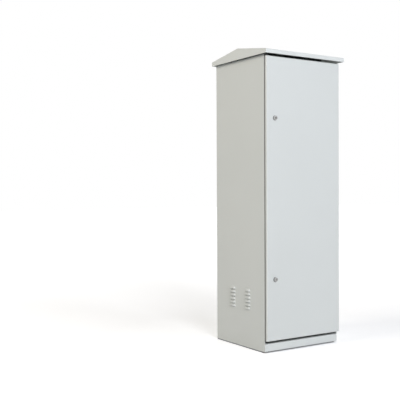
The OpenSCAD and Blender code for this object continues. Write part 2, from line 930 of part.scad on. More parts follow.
module door_stiffener(x) {
    low_y = door_skin_y + stiffener_t / 2;
    high_y = door_skin_y + stiffener_h - stiffener_t / 2;
    foot = stiffener_w / 2;
    crown = stiffener_crown / 2;
    length = door_h - 2 * stiffener_end;
    color(zinc) in_body() translate([x, 0, door_z0 + stiffener_end]) linear_extrude(length)
        folded([
            [-foot, low_y], [-crown, low_y], [-crown, high_y],
            [crown, high_y], [crown, low_y], [foot, low_y]
        ], stiffener_t, 2 * stiffener_t);
}

module door_stiffener_left() {
    door_stiffener(-stiffener_x);
}

module door_stiffener_right() {
    door_stiffener(stiffener_x);
}

module door_seal() {
    z0 = open_z0 - sheet / 2;
    z1 = open_z1 + sheet / 2;
    half = seal_w / 2;
    color(black_rubber) in_body() along(door_skin_y, -lip_h - seal_clear) difference() {
        translate([-seal_x - half, z0 - half]) square([2 * seal_x + seal_w, z1 - z0 + seal_w]);
        translate([half - seal_x, z0 + half]) square([2 * seal_x - seal_w, z1 - z0 - seal_w]);
    }
}

// Quarter-turn locks, drawn along +Z out of the door with z = 0 at the front flange
module at_lock(i) {
    in_body() translate([lock_x, 0, lock_zs[i]]) facing_front() children();
}

module lock_housing(i) {
    end = lock_fit - cam_y;
    color(bright) at_lock(i) difference() {
        union() {
            translate([0, 0, lock_seat]) rotate_extrude() {
                square([lock_head_r, lock_head_h - lock_edge]);
                square([lock_head_r - lock_edge, lock_head_h]);
                translate([lock_head_r - lock_edge, lock_head_h - lock_edge]) circle(lock_edge);
            }
            translate([0, 0, end]) linear_extrude(lock_face - end - lock_recess_h)
                lock_hole(lock_body_r, lock_flat);
        }
        translate([0, 0, end - cut]) cylinder(r = lock_shaft_r + run_clear, h = lock_face);
        translate([0, 0, lock_face - lock_recess_h]) cylinder(r = lock_recess_r, h = lock_recess_h + cut);
    }
}

module lock_seal(i) {
    color(black_rubber) at_lock(i) translate([0, 0, door_proud]) difference() {
        cylinder(r = lock_head_r, h = lock_seal_t);
        translate([0, 0, -cut]) cylinder(r = lock_body_r, h = lock_seal_t + 2 * cut);
    }
}

module lock_nut(i) {
    color(zinc) at_lock(i) translate([0, 0, -door_skin_y - lock_nut_h]) rotate(30)
        hex_nut(lock_body_r, lock_nut_af, lock_nut_h);
}

module lock_plug(i) {
    seat = lock_face - lock_recess_h + lock_fit;
    face = lock_face - plug_face;
    color(bright) at_lock(i) difference() {
        union() {
            translate([0, 0, seat]) cylinder(r = lock_recess_r - lock_fit, h = face - seat - plug_socket_h);
            translate([0, 0, seat]) difference() {
                cylinder(r = lock_recess_r - lock_fit, h = face - seat);
                cylinder(r = plug_socket_r, h = face);
            }
            translate([0, 0, seat]) cylinder(r = plug_key_r, h = face - seat, $fn = 3);
            translate([0, 0, -cam_y]) cylinder(r = lock_shaft_r, h = cam_y + face - plug_socket_h);
            translate([-cam_square / 2, -cam_square / 2, lock_fit - cam_y - cam_t])
                cube([cam_square, cam_square, cam_t]);
        }
        translate([0, 0, -cam_y - cam_t]) cylinder(r = cam_bolt_r, h = cam_bolt_l);
    }
}

module lock_cam(i) {
    tip = cam_reach - cam_w / 2;
    color(zinc) at_lock(i) translate([0, 0, -cam_y - cam_t]) linear_extrude(cam_t) difference() {
        union() {
            circle(cam_w / 2);
            translate([-cam_w / 2, -tip]) square([cam_w, tip]);
            translate([0, -tip]) circle(cam_w / 2);
        }
        square(cam_square, center = true);
    }
}

module cam_bolt(i) {
    color(zinc) at_lock(i) translate([0, 0, -cam_y - cam_t]) mirror([0, 0, 1]) {
        cylinder(r = cam_washer_r, h = cam_washer_t);
        hex_bolt(cam_bolt_r, fixing_nut_af, fixing_nut_h, cam_bolt_l - cut);
    }
}

module upper_lock_housing() {
    lock_housing(0);
}

module lower_lock_housing() {
    lock_housing(1);
}

module upper_lock_seal() {
    lock_seal(0);
}

module lower_lock_seal() {
    lock_seal(1);
}

module upper_lock_nut() {
    lock_nut(0);
}

module lower_lock_nut() {
    lock_nut(1);
}

module upper_lock_plug() {
    lock_plug(0);
}

module lower_lock_plug() {
    lock_plug(1);
}

module upper_lock_cam() {
    lock_cam(0);
}

module lower_lock_cam() {
    lock_cam(1);
}

module upper_cam_bolt() {
    cam_bolt(0);
}

module lower_cam_bolt() {
    cam_bolt(1);
}

left_side_panel();
right_side_panel();
back_panel();
top_panel();
top_rail();
sill_rail();
plinth_front();
base_rail_left();
base_rail_right();
base_rail_rear();
floor_panel();
gland_gasket();
gland_plate();
gland_screws();
cable_grommets();
roof_canopy();
canopy_rib_left();
canopy_rib_right();
canopy_bolts();
canopy_nuts();
vent_screen_left();
vent_screen_right();
vent_screen_studs();
vent_screen_nuts();
mounting_plate();
plate_standoffs();
plate_nuts();
earth_stud();
earth_nuts();
lower_hinge_frame_leaf();
middle_hinge_frame_leaf();
upper_hinge_frame_leaf();
lower_hinge_pin();
middle_hinge_pin();
upper_hinge_pin();
hinge_frame_screws();
hinge_frame_nuts();
door_panel();
door_stiffener_left();
door_stiffener_right();
door_seal();
lower_hinge_door_leaf();
middle_hinge_door_leaf();
upper_hinge_door_leaf();
hinge_door_studs();
hinge_door_nuts();
upper_lock_housing();
upper_lock_seal();
upper_lock_nut();
lower_lock_housing();
lower_lock_seal();
lower_lock_nut();
upper_lock_plug();
upper_lock_cam();
upper_cam_bolt();
lower_lock_plug();
lower_lock_cam();
lower_cam_bolt();
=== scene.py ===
import math

import bpy
from mathutils import Euler, Matrix, Vector


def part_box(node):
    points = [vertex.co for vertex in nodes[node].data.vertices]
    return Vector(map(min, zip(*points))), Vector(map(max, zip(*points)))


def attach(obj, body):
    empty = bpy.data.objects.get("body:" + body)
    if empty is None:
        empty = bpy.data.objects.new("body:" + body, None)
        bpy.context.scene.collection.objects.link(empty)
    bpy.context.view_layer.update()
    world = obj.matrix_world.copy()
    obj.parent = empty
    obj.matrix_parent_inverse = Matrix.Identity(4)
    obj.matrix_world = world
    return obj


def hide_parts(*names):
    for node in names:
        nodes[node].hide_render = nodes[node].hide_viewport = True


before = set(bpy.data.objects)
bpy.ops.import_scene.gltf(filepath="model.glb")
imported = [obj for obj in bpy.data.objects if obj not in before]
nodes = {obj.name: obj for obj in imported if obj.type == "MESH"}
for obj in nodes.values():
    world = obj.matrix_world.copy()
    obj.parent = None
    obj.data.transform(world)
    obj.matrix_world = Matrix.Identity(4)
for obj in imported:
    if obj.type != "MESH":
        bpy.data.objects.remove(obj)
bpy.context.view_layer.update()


# Base rails: three hot-dip galvanised steel angles that lie on the ground inside the skirt and take
# the anchor bolts. The zinc has frozen in flat crystals, dull and bluish, each a shade apart.
DIPPED_DARK, DIPPED_LIGHT, DIPPED_CRYSTAL = (0.17, 0.18, 0.19), (0.26, 0.27, 0.28), 0.016
ZINC_ROUGHNESS, ZINC_METALLIC = (0.34, 0.52), 0.92
CRYSTAL_RIPPLES, RIPPLE_DEPTH = 3, 0.00005
MIX_FACTOR, MIX_FIRST, MIX_SECOND, MIX_RESULT = 0, 6, 7, 2


def new_finish(name):
    material = bpy.data.materials.new(name)
    material.use_nodes = True
    tree = material.node_tree
    place = tree.nodes.new("ShaderNodeTexCoord")
    return material, tree, tree.nodes["Principled BSDF"], place.outputs["Object"]


def grain(tree, place, size, detail=2.0):
    noise = tree.nodes.new("ShaderNodeTexNoise")
    noise.inputs["Scale"].default_value = 1.0 / size
    noise.inputs["Detail"].default_value = detail
    tree.links.new(place, noise.inputs["Vector"])
    return noise.outputs["Fac"]


def ranged(tree, value, low, high, start=0.0, end=1.0):
    ramp = tree.nodes.new("ShaderNodeMapRange")
    ramp.inputs["From Min"].default_value = start
    ramp.inputs["From Max"].default_value = end
    ramp.inputs["To Min"].default_value = low
    ramp.inputs["To Max"].default_value = high
    tree.links.new(value, ramp.inputs["Value"])
    return ramp.outputs["Result"]


def toned(tree, value, first, second):
    mix = tree.nodes.new("ShaderNodeMix")
    mix.data_type = "RGBA"
    tree.links.new(value, mix.inputs[MIX_FACTOR])
    for socket, colour in ((mix.inputs[MIX_FIRST], first), (mix.inputs[MIX_SECOND], second)):
        if isinstance(colour, tuple):
            socket.default_value = (*colour, 1.0)
        else:
            tree.links.new(colour, socket)
    return mix.outputs[MIX_RESULT]


def bumped(tree, shader, height, depth, under=None):
    bump = tree.nodes.new("ShaderNodeBump")
    bump.inputs["Distance"].default_value = depth
    tree.links.new(height, bump.inputs["Height"])
    if under is not None:
        tree.links.new(under, bump.inputs["Normal"])
    tree.links.new(bump.outputs["Normal"], shader.inputs["Normal"])
    return bump.outputs["Normal"]


def coated(material, *names):
    for name in names:
        nodes[name].data.materials.clear()
        nodes[name].data.materials.append(material)


def galvanised_sheet(name, dark, light, crystal):
    material, tree, shader, place = new_finish(name)
    cells = tree.nodes.new("ShaderNodeTexVoronoi")
    cells.inputs["Scale"].default_value = 1.0 / crystal
    tree.links.new(place, cells.inputs["Vector"])
    shade = tree.nodes.new("ShaderNodeSeparateColor")
    tree.links.new(cells.outputs["Color"], shade.inputs["Color"])
    tone = toned(tree, shade.outputs["Red"], dark, light)
    dull = ranged(tree, shade.outputs["Green"], *ZINC_ROUGHNESS)
    tree.links.new(tone, shader.inputs["Base Color"])
    tree.links.new(dull, shader.inputs["Roughness"])
    shader.inputs["Metallic"].default_value = ZINC_METALLIC
    bumped(tree, shader, grain(tree, place, crystal / CRYSTAL_RIPPLES), RIPPLE_DEPTH)
    return material


dipped_zinc = galvanised_sheet("dipped_zinc", DIPPED_DARK, DIPPED_LIGHT, DIPPED_CRYSTAL)
coated(dipped_zinc, "base_rail_left", "base_rail_right", "base_rail_rear")

# Shell: side panels with pressed louvres, back, top and floor pans, door frame rails and plinth
# strip, all folded steel sheet, powder coated light grey, the plinth a shade paler. The coat has a
# fine orange peel and splashed dirt near the ground, painted shade in corners and crevices, and on
# the side panels a painted shade on the folded edge in the gap at the door.
LIGHT_GREY, PALER = (0.645, 0.672, 0.651), 1.06
CLOUD_SIZE, CLOUD_DETAIL, CLOUD_SWING = 0.45, 3.0, 0.025
SPECK_SIZE, SPECK_RAMP, SPECK_MOST, SPECK_SHADE = 0.0011, (0.45, 0.75), 0.10, 0.82
SPLASH_TOP, SPLASH_MOST, SPLASH_COLOUR = 0.10, 0.04, (0.36, 0.33, 0.29)
BLOT_SIZE, BLOT_DETAIL, BLOT_RAMP, BLOT_STRENGTH = 0.03, 4.0, (0.3, 0.7), (0.2, 1.4)
# Painted shade on the folded front edge of the side panels in the door gap: strength, colour, place.
GAP_SHADE_MOST, GAP_SHADE_COLOUR = 0.7, (0.075, 0.072, 0.066)
GAP_DEPTH, GAP_FOOT, GAP_RIM = (-0.2450, -0.2436), (0.068, 0.078), (0.273, 0.285)
# Painted shade in corners and crevices: reach, ramp, strength, colour and samples of the occlusion.
SHADE_REACH, SHADE_RAMP, SHADE_MOST = 0.014, (0.10, 0.50), 0.40
SHADE_COLOUR, SHADE_SAMPLES = (0.085, 0.082, 0.076), 8
COAT_CLOUD, COAT_ROUGHNESS, COAT_SPECULAR = 0.02, (0.36, 0.48), 0.4
WAVE_SIZE, WAVE_DEPTH, PEEL_SIZE, PEEL_DEPTH = 0.35, 0.004, 0.0028, 0.00012


def shaded(colour, factor):
    return tuple(factor * part for part in colour)


# Painted shade: a mask that grows where ambient occlusion finds nearby surfaces.
def crevice(tree, reach, start, end):
    hidden = tree.nodes.new("ShaderNodeAmbientOcclusion")
    hidden.samples = SHADE_SAMPLES
    hidden.inputs["Distance"].default_value = reach
    return ranged(tree, hidden.outputs["AO"], 1.0, 0.0, start, end)


def multiplied(tree, value, other):
    product = tree.nodes.new("ShaderNodeMath")
    product.operation = "MULTIPLY"
    tree.links.new(value, product.inputs[0])
    if isinstance(other, float):
        product.inputs[1].default_value = other
    else:
        tree.links.new(other, product.inputs[1])
    return product.outputs[0]


def powder_coat(name, colour, gap_shade=0.0):
    material, tree, shader, place = new_finish(name)
    where = tree.nodes.new("ShaderNodeSeparateXYZ")
    tree.links.new(place, where.inputs["Vector"])
    tone = toned(tree, grain(tree, place, CLOUD_SIZE, CLOUD_DETAIL),
                 shaded(colour, 1.0 - CLOUD_SWING), shaded(colour, 1.0 + CLOUD_SWING))
    speck = ranged(tree, grain(tree, place, SPECK_SIZE, 1.0), 0.0, SPECK_MOST, *SPECK_RAMP)
    tone = toned(tree, speck, tone, shaded(colour, SPECK_SHADE))
    blot = ranged(tree, grain(tree, place, BLOT_SIZE, BLOT_DETAIL), *BLOT_STRENGTH, *BLOT_RAMP)
    splash = ranged(tree, where.outputs["Z"], SPLASH_MOST, 0.0, 0.0, SPLASH_TOP)
    tone = toned(tree, multiplied(tree, splash, blot), tone, SPLASH_COLOUR)
    # Painted shade on the folded front edge, in the gap at the door, placed by position.
    rim = tree.nodes.new("ShaderNodeMath")
    rim.operation = "ABSOLUTE"
    tree.links.new(where.outputs["X"], rim.inputs[0])
    painted_gap_shade = multiplied(tree, ranged(tree, where.outputs["Y"], gap_shade, 0.0, *GAP_DEPTH),
                      ranged(tree, where.outputs["Z"], 0.0, 1.0, *GAP_FOOT))
    painted_gap_shade = multiplied(tree, painted_gap_shade, ranged(tree, rim.outputs[0], 0.0, 1.0, *GAP_RIM))
    tone = toned(tree, painted_gap_shade, tone, GAP_SHADE_COLOUR)
    # Painted shade darkens the coat in corners and crevices.
    painted_shade = multiplied(tree, crevice(tree, SHADE_REACH, *SHADE_RAMP), SHADE_MOST)
    tone = toned(tree, painted_shade, tone, SHADE_COLOUR)
    dull = ranged(tree, grain(tree, place, COAT_CLOUD), *COAT_ROUGHNESS)
    tree.links.new(tone, shader.inputs["Base Color"])
    tree.links.new(dull, shader.inputs["Roughness"])
    shader.inputs["Specular IOR Level"].default_value = COAT_SPECULAR
    wave = bumped(tree, shader, grain(tree, place, WAVE_SIZE, 1.0), WAVE_DEPTH)
    bumped(tree, shader, grain(tree, place, PEEL_SIZE, 1.0), PEEL_DEPTH, wave)
    return material


light_grey = powder_coat("light_grey_powder_coat", LIGHT_GREY)
coated(light_grey, "back_panel", "top_panel", "floor_panel", "top_rail", "sill_rail")
pale_grey = powder_coat("paler_powder_coat", shaded(LIGHT_GREY, PALER))
coated(pale_grey, "plinth_front")
# The side panels carry the painted shade on the folded edge in the gap at the door.
gap_shaded_grey = powder_coat("gap_shaded_powder_coat", LIGHT_GREY, GAP_SHADE_MOST)
coated(gap_shaded_grey, "left_side_panel", "right_side_panel")

# Gland gasket: a frame cut from soft black rubber sheet, laid round the floor opening under the
# gland plate. The plate squeezes it, so its edges are round.
RUBBER_DARK, RUBBER_LIGHT, RUBBER_GRAIN = (0.018, 0.018, 0.018), (0.035, 0.035, 0.034), 0.003
BLOOM_SIZE, BLOOM_RAMP, BLOOM_MOST, BLOOM_COLOUR = 0.05, (0.5, 0.8), 0.35, (0.075, 0.072, 0.068)
RUBBER_CLOUD, RUBBER_ROUGHNESS = 0.006, (0.68, 0.84)
PORE_SIZE, PORE_DEPTH = 0.0008, 0.0001
GASKET_BORDER, GASKET_CROWN, CROWN_STEPS = 0.025, 0.0011, 5
MERGE, SMOOTH_TO = 0.00001, 35.0


def black_rubber(name):
    material, tree, shader, place = new_finish(name)
    tone = toned(tree, grain(tree, place, RUBBER_GRAIN), RUBBER_DARK, RUBBER_LIGHT)
    bloom = ranged(tree, grain(tree, place, BLOOM_SIZE), 0.0, BLOOM_MOST, *BLOOM_RAMP)
    tone = toned(tree, bloom, tone, BLOOM_COLOUR)
    dull = ranged(tree, grain(tree, place, RUBBER_CLOUD), *RUBBER_ROUGHNESS)
    tree.links.new(tone, shader.inputs["Base Color"])
    tree.links.new(dull, shader.inputs["Roughness"])
    bumped(tree, shader, grain(tree, place, PORE_SIZE), PORE_DEPTH)
    return material


def start_on(piece, name, material):
    piece.name = name
    piece.data.name = name
    piece.data.materials.append(material)
    bpy.ops.object.mode_set(mode="EDIT")
    bpy.ops.mesh.select_all(action="SELECT")


def settled():
    bpy.ops.object.transform_apply(location=True, rotation=True, scale=True)


def finish_off():
    bpy.ops.mesh.select_all(action="SELECT")
    bpy.ops.mesh.remove_doubles(threshold=MERGE)
    bpy.ops.mesh.normals_make_consistent(inside=False)
    bpy.ops.object.mode_set(mode="OBJECT")
    settled()
    bpy.ops.object.shade_smooth_by_angle(angle=math.radians(SMOOTH_TO))
    return bpy.context.object


def rubber_frame(name, material, width, length, border, thick, crown, place, turn):
    bpy.ops.object.select_all(action="DESELECT")
    bpy.ops.mesh.primitive_plane_add(size=1.0, location=place, rotation=turn)
    strip = bpy.context.object
    strip.scale = (width, length, 1.0)
    bpy.ops.object.transform_apply(location=False, rotation=False, scale=True)
    start_on(strip, name, material)
    bpy.ops.mesh.inset(thickness=border, use_even_offset=True)
    bpy.ops.mesh.delete(type="FACE")
    bpy.ops.mesh.select_all(action="SELECT")
    along = Euler(turn).to_matrix() @ Vector((0.0, 0.0, thick))
    bpy.ops.mesh.extrude_region_move(TRANSFORM_OT_translate={"value": along})
    bpy.ops.mesh.region_to_loop()
    bpy.ops.mesh.bevel(offset=crown, segments=CROWN_STEPS, affect="EDGES")
    return finish_off()


rubber = black_rubber("black_rubber")
low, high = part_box("gland_gasket")
middle = (low + high) / 2
gasket = rubber_frame("squeezed_gland_gasket", rubber, high.x - low.x, high.y - low.y,
                      GASKET_BORDER, high.z - low.z, GASKET_CROWN,
                      (middle.x, middle.y, low.z), (0.0, 0.0, 0.0))
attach(gasket, "cabinet")
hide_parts("gland_gasket")

# Gland plate: galvanised sheet with three round cable entries, held by six zinc-plated screws. The
# plating is bright and faintly blue where the passivation has dried, with painted shade in corners.
SPANGLED_DARK, SPANGLED_LIGHT = (0.34, 0.352, 0.364), (0.44, 0.453, 0.466)
SPANGLED_CRYSTAL = 0.012
BRIGHT_ZINC, BRIGHT_SHINE = (0.68, 0.70, 0.72), (0.22, 0.36)
PLATING_CLOUD, PLATING_DETAIL, PLATING_SHADE, POLISH_SIZE = 0.004, 3.0, 0.86, 0.0015
# Painted shade in corners of plated metal: reach, ramp, strength and colour of the occlusion.
CORNER_SHADE_REACH, CORNER_SHADE_RAMP, CORNER_SHADE_MOST = 0.010, (0.25, 0.75), 0.8
CORNER_SHADE_COLOUR = (0.045, 0.042, 0.038)


def plated(name, colour, shine):
    material, tree, shader, place = new_finish(name)
    tone = toned(tree, grain(tree, place, PLATING_CLOUD, PLATING_DETAIL),
                 shaded(colour, PLATING_SHADE), colour)
    # Painted shade darkens the plating in corners.
    painted_shade = multiplied(tree, crevice(tree, CORNER_SHADE_REACH, *CORNER_SHADE_RAMP), CORNER_SHADE_MOST)
    tone = toned(tree, painted_shade, tone, CORNER_SHADE_COLOUR)
    dull = ranged(tree, grain(tree, place, POLISH_SIZE), *shine)
    tree.links.new(tone, shader.inputs["Base Color"])
    tree.links.new(dull, shader.inputs["Roughness"])
    shader.inputs["Metallic"].default_value = 1.0
    return material


spangled_zinc = galvanised_sheet("spangled_zinc", SPANGLED_DARK, SPANGLED_LIGHT, SPANGLED_CRYSTAL)
bright_zinc = plated("bright_zinc", BRIGHT_ZINC, BRIGHT_SHINE)
coated(spangled_zinc, "gland_plate")
coated(bright_zinc, "gland_screws")

# Cable grommets: soft rubber rings snapped into the gland plate's three holes, each closed by a
# stepped membrane that is cut to the cable. One is shaped on the plate's thickness and copied twice.
HOLE_R, LIP_R, BORE_R, GROMMET_SIDES = 0.025, 0.029, 0.021, 48
TOP_RISE, TOP_ROUND = 0.0020, ((0.0007, 0.985), (0.0003, 0.960))
FOOT_RISE, FOOT_ROUND, FOOT_ROUND_SCALE = -0.0022, -0.0008, 0.970
WELL, HOLLOW = -0.0015, 0.0048
TREADS, RISER, RISER_SCALE = (0.0035, 0.0045, 0.0045), 0.0005, 0.97
FACING, GROMMET_CAP = 0.9, 0.0003
plate_low, plate_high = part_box("gland_plate")
low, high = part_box("cable_grommets")
pitch = (high.x - low.x) / 2 - LIP_R
axis = Vector(((low.x + high.x) / 2, (low.y + high.y) / 2, (plate_low.z + plate_high.z) / 2))


def faces_facing(piece, way, least_area):
    bpy.ops.mesh.select_mode(type="FACE")
    bpy.ops.mesh.select_all(action="DESELECT")
    bpy.ops.object.mode_set(mode="OBJECT")
    for face in piece.data.polygons:
        face.select = face.normal.dot(way) > FACING and face.area > least_area
    bpy.ops.object.mode_set(mode="EDIT")


def drawn_out(rise, scale, centre):
    bpy.ops.mesh.extrude_region_move(TRANSFORM_OT_translate={"value": (0.0, 0.0, rise)})
    bpy.ops.transform.resize(value=(scale, scale, 1.0), center_override=centre)


def joined(pieces):
    bpy.ops.object.select_all(action="DESELECT")
    for piece in pieces:
        piece.select_set(True)
    bpy.context.view_layer.objects.active = pieces[0]
    bpy.ops.object.join()


def repeated(piece, shifts):
    row = [piece]
    for shift in shifts:
        bpy.ops.object.select_all(action="DESELECT")
        piece.select_set(True)
        bpy.context.view_layer.objects.active = piece
        bpy.ops.object.duplicate(linked=False)
        bpy.ops.transform.translate(value=shift)
        settled()
        row.append(bpy.context.object)
    joined(row)


bpy.ops.object.select_all(action="DESELECT")
bpy.ops.mesh.primitive_cylinder_add(vertices=GROMMET_SIDES, radius=HOLE_R,
                                    depth=plate_high.z - plate_low.z, location=axis)
grommet = bpy.context.object
settled()
start_on(grommet, "stepped_grommets", rubber)
faces_facing(grommet, Vector((0.0, 0.0, 1.0)), GROMMET_CAP)
drawn_out(0.0, LIP_R / HOLE_R, axis)
drawn_out(TOP_RISE, 1.0, axis)
rim_r = LIP_R
for rise, scale in TOP_ROUND:
    drawn_out(rise, scale, axis)
    rim_r *= scale
bpy.ops.mesh.inset(thickness=rim_r - BORE_R)
drawn_out(WELL, 1.0, axis)
for tread in TREADS:
    bpy.ops.mesh.inset(thickness=tread)
    drawn_out(RISER, RISER_SCALE, axis)
faces_facing(grommet, Vector((0.0, 0.0, -1.0)), GROMMET_CAP)
drawn_out(0.0, LIP_R / HOLE_R, axis)
drawn_out(FOOT_RISE, 1.0, axis)
drawn_out(FOOT_ROUND, FOOT_ROUND_SCALE, axis)
bpy.ops.mesh.inset(thickness=LIP_R * FOOT_ROUND_SCALE - BORE_R)
drawn_out(HOLLOW, 1.0, axis)
finish_off()
repeated(grommet, ((-pitch, 0.0, 0.0), (pitch, 0.0, 0.0)))
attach(grommet, "cabinet")
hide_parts("cable_grommets")

# Canopy: one sheet folded over the ridge and down into low fascias, with welded gable ends, coated
# the paler grey of the plinth. Two galvanised ribs carry it, bolted to the top panel.
coated(pale_grey, "roof_canopy")
coated(spangled_zinc, "canopy_rib_left", "canopy_rib_right")
coated(bright_zinc, "canopy_bolts", "canopy_nuts")

# Insect screens: perforated galvanised sheet that lies flat behind the louvres of each side panel.
# Zinc-plated weld studs on the panel carry them, and nuts hold them on.
coated(spangled_zinc, "vent_screen_left", "vent_screen_right")
coated(bright_zinc, "vent_screen_studs", "vent_screen_nuts")

# Mounting plate: thick galvanised sheet with folded edges, held by nuts on six stand-offs from the
# back panel. A stand-off is a turned post with a rolled thread on its thin end, zinc plated. One is
# made standing up, then tipped over to point to the front and copied five times.
THREAD_PITCH, THREAD_DEPTH, TURN_STEPS, RUN_OUT = 0.00125, 0.00065, 24, 2
ROD_R, TIP_L, TIP_SCALE, CUT = 0.004, 0.0008, 0.82, 0.000001
POST_R, POST_L, POST_SIDES, POST_CAP = 0.008, 0.030, 48, 0.0001
POST_RIM, POST_RIM_STEPS = 0.0005, 2


def threaded_post(name, material, post_r, post_l, length):
    bpy.ops.object.select_all(action="DESELECT")
    bpy.ops.mesh.primitive_plane_add(size=post_r)
    rod = bpy.context.object
    start_on(rod, name, material)
    bpy.ops.mesh.select_mode(type="VERT")
    bpy.ops.mesh.select_all(action="SELECT")
    bpy.ops.mesh.merge(type="CENTER")
    foot = post_l - RUN_OUT * THREAD_PITCH
    bpy.ops.transform.translate(value=(ROD_R - THREAD_DEPTH, 0.0, foot))
    for step in (THREAD_DEPTH, -THREAD_DEPTH):
        flank = (step, 0.0, THREAD_PITCH / 2)
        bpy.ops.mesh.extrude_region_move(TRANSFORM_OT_translate={"value": flank})
    bpy.ops.object.mode_set(mode="OBJECT")
    thread = rod.modifiers.new("thread", "SCREW")
    thread.screw_offset = THREAD_PITCH
    thread.iterations = math.ceil((length - post_l) / THREAD_PITCH) + RUN_OUT
    thread.steps = thread.render_steps = TURN_STEPS
    bpy.ops.object.modifier_apply(modifier=thread.name)
    bpy.ops.object.mode_set(mode="EDIT")
    bpy.ops.mesh.select_all(action="SELECT")
    bpy.ops.mesh.remove_doubles(threshold=MERGE)
    bpy.ops.mesh.bisect(plane_co=(0.0, 0.0, post_l - THREAD_DEPTH), plane_no=(0.0, 0.0, 1.0),
                        use_fill=True, clear_inner=True, threshold=CUT)
    bpy.ops.mesh.select_all(action="SELECT")
    bpy.ops.mesh.bisect(plane_co=(0.0, 0.0, length - TIP_L), plane_no=(0.0, 0.0, 1.0),
                        use_fill=True, clear_outer=True, threshold=CUT)
    drawn_out(TIP_L, TIP_SCALE, (0.0, 0.0, length))
    finish_off()
    bpy.ops.object.select_all(action="DESELECT")
    bpy.ops.mesh.primitive_cylinder_add(vertices=POST_SIDES, radius=post_r, depth=post_l,
                                        location=(0.0, 0.0, post_l / 2))
    post = bpy.context.object
    start_on(post, name + "_post", material)
    faces_facing(post, Vector((0.0, 0.0, 1.0)), POST_CAP)
    bpy.ops.mesh.bevel(offset=POST_RIM, segments=POST_RIM_STEPS, affect="EDGES")
    finish_off()
    joined((rod, post))
    return rod


coated(spangled_zinc, "mounting_plate")
coated(bright_zinc, "plate_nuts")
low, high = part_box("plate_standoffs")
standoff = threaded_post("threaded_standoffs", bright_zinc, POST_R, POST_L, high.y - low.y)
standoff.location = (low.x + POST_R, high.y, low.z + POST_R)
standoff.rotation_euler = (math.pi / 2, 0.0, 0.0)
settled()
across, up = high.x - low.x - 2 * POST_R, high.z - low.z - 2 * POST_R
repeated(standoff, ((across, 0.0, 0.0), (0.0, 0.0, up / 2), (across, 0.0, up / 2),
                    (0.0, 0.0, up), (across, 0.0, up)))
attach(standoff, "cabinet")
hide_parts("plate_standoffs")

# Earth stud: a turned brass stud with a rolled thread, its base soldered to the floor panel. Two
# brass nuts clamp the lug of the earth wire between them.
YELLOW_BRASS, BRASS_SHINE, BASE_H = (0.66, 0.47, 0.20), (0.22, 0.36), 0.003
brass = plated("yellow_brass", YELLOW_BRASS, BRASS_SHINE)
coated(brass, "earth_nuts")
low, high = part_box("earth_stud")
earth_stud = threaded_post("threaded_earth_stud", brass, (high.x - low.x) / 2, BASE_H,
                           high.z - low.z)
earth_stud.location = ((low.x + high.x) / 2, (low.y + high.y) / 2, low.z)
settled()
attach(earth_stud, "cabinet")
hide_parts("earth_stud")

# Hinges: three concealed lift-off hinges of plated steel strip. The frame leaf is screwed to the
# body's flange and carries the pin, and the door leaf drops over the pin and is held on weld studs.
for which in ("lower", "middle", "upper"):
    coated(bright_zinc, which + "_hinge_frame_leaf", which + "_hinge_pin",
           which + "_hinge_door_leaf")
coated(bright_zinc, "hinge_frame_screws", "hinge_frame_nuts", "hinge_door_studs",
       "hinge_door_nuts")

# Door: a steel pan with folded edges, hung over the whole front and coated light grey as the shell
# is. Two galvanised hat sections, spot-welded upright to its back, keep it stiff.
coated(light_grey, "door_panel")
coated(spangled_zinc, "door_stiffener_left", "door_stiffener_right")

# Door seal: a moulded black rubber strip glued round the inside of the door, with a round crown that
# the rain lip of the frame presses into.
SEAL_BORDER, SEAL_CROWN = 0.012, 0.0045
low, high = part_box("door_seal")
middle = (low + high) / 2
seal = rubber_frame("crowned_door_seal", rubber, high.x - low.x, high.z - low.z,
                    SEAL_BORDER, high.y - low.y, SEAL_CROWN,
                    (middle.x, low.y, middle.z), (-math.pi / 2, 0.0, 0.0))
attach(seal, "door")
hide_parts("door_seal")

# Locks: two round quarter-turn locks. Housing and plug are die-cast and satin plated, the ring nut,
# cam and bolt behind the door are zinc plated.
SATIN_GREY, SATIN_SHINE = (0.42, 0.42, 0.41), (0.30, 0.42)
die_cast = plated("satin_die_cast", SATIN_GREY, SATIN_SHINE)
for which in ("upper", "lower"):
    coated(die_cast, which + "_lock_housing", which + "_lock_plug")
    coated(bright_zinc, which + "_lock_nut", which + "_lock_cam", which + "_cam_bolt")

# Lock seals: thin rubber washers under the lock heads. The ring nut behind the door squeezes them,
# so that a round black rim swells out past the head.
WASHER_BORE, SWELL, WASHER_SIDES = 0.0101, 0.0012, 64
RIM_SHARE, RIM_STEPS = 0.45, 3


